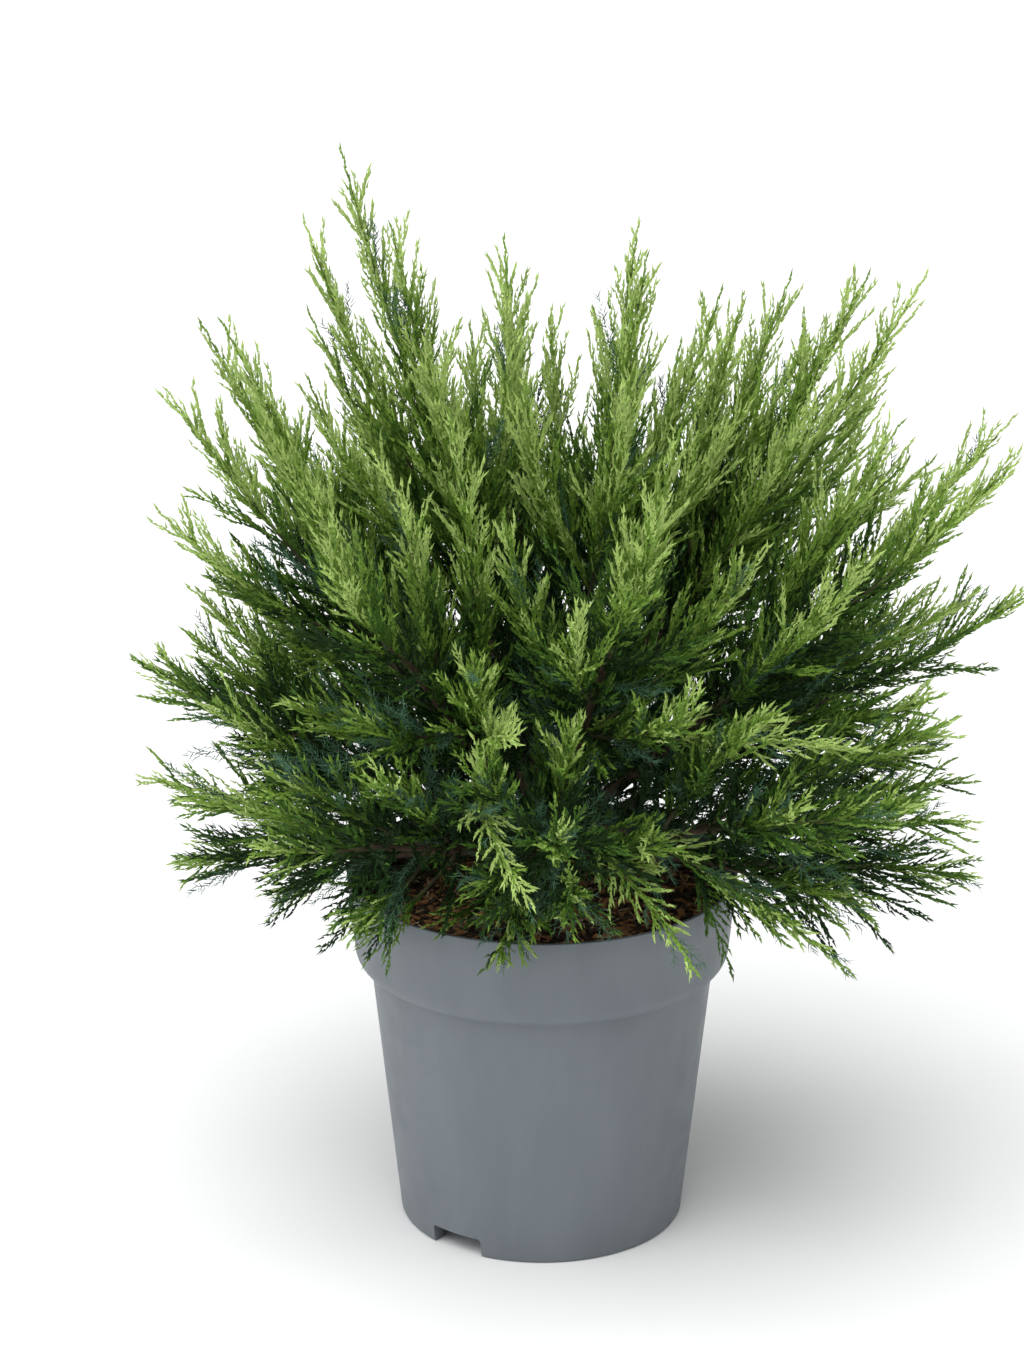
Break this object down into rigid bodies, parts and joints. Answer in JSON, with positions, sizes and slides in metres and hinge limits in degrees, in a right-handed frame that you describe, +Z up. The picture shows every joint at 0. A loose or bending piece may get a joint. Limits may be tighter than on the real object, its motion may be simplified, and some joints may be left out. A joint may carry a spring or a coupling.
{
  "type": "potted juniper shrub",
  "caption": "Spreading evergreen juniper with upswept feathery sprays, growing from one short stem in a round plastic nursery pot.",
  "frame": {"origin": "centre of the pot's flat underside, on the surface the pot stands on", "axes": "+Z up along the pot's axis, +X to the right of a viewer who faces the pot's front, which looks along -Y"},
  "size_m": [0.5624, 0.5272, 0.6991],
  "materials": {
    "pot_plastic": "smooth matte blue-grey moulded plastic, faintly mottled",
    "potting_mix": "loose orange-brown bark chips and coir fibres, damp",
    "bark": "thin grey-brown bark that peels in narrow strips",
    "foliage": "small scale leaves, fresh green with yellow-green tips and blue-green sprays low down"
  },
  "bodies": {
    "root": {"pot": "pot_plastic", "potting_mix": "potting_mix", "stem": "bark", "bough_peak_left": "bark", "mass_peak_left": "foliage", "bough_peak_middle": "bark", "mass_peak_middle": "foliage", "bough_peak_right": "bark", "mass_peak_right": "foliage", "bough_peak_back": "bark", "mass_peak_back": "foliage", "bough_arch_right": "bark", "mass_arch_right": "foliage", "bough_arch_back_right": "bark", "mass_arch_back_right": "foliage", "bough_arch_back_left": "bark", "mass_arch_back_left": "foliage", "bough_shoulder_left": "bark", "mass_shoulder_left": "foliage", "bough_upper_front_left": "bark", "mass_upper_front_left": "foliage", "bough_upper_front": "bark", "mass_upper_front": "foliage", "bough_side_right": "bark", "mass_side_right": "foliage", "bough_side_left": "bark", "mass_side_left": "foliage", "bough_front_right": "bark", "mass_front_right": "foliage", "bough_front": "bark", "mass_front": "foliage", "bough_front_left": "bark", "mass_front_left": "foliage", "bough_back_right": "bark", "mass_back_right": "foliage", "bough_back": "bark", "mass_back": "foliage", "bough_back_left": "bark", "mass_back_left": "foliage", "bough_low_right": "bark", "mass_low_right": "foliage", "bough_low_left": "bark", "mass_low_left": "foliage", "bough_low_front": "bark", "mass_low_front": "foliage", "bough_low_back": "bark", "mass_low_back": "foliage"}
  },
  "joints": []
}
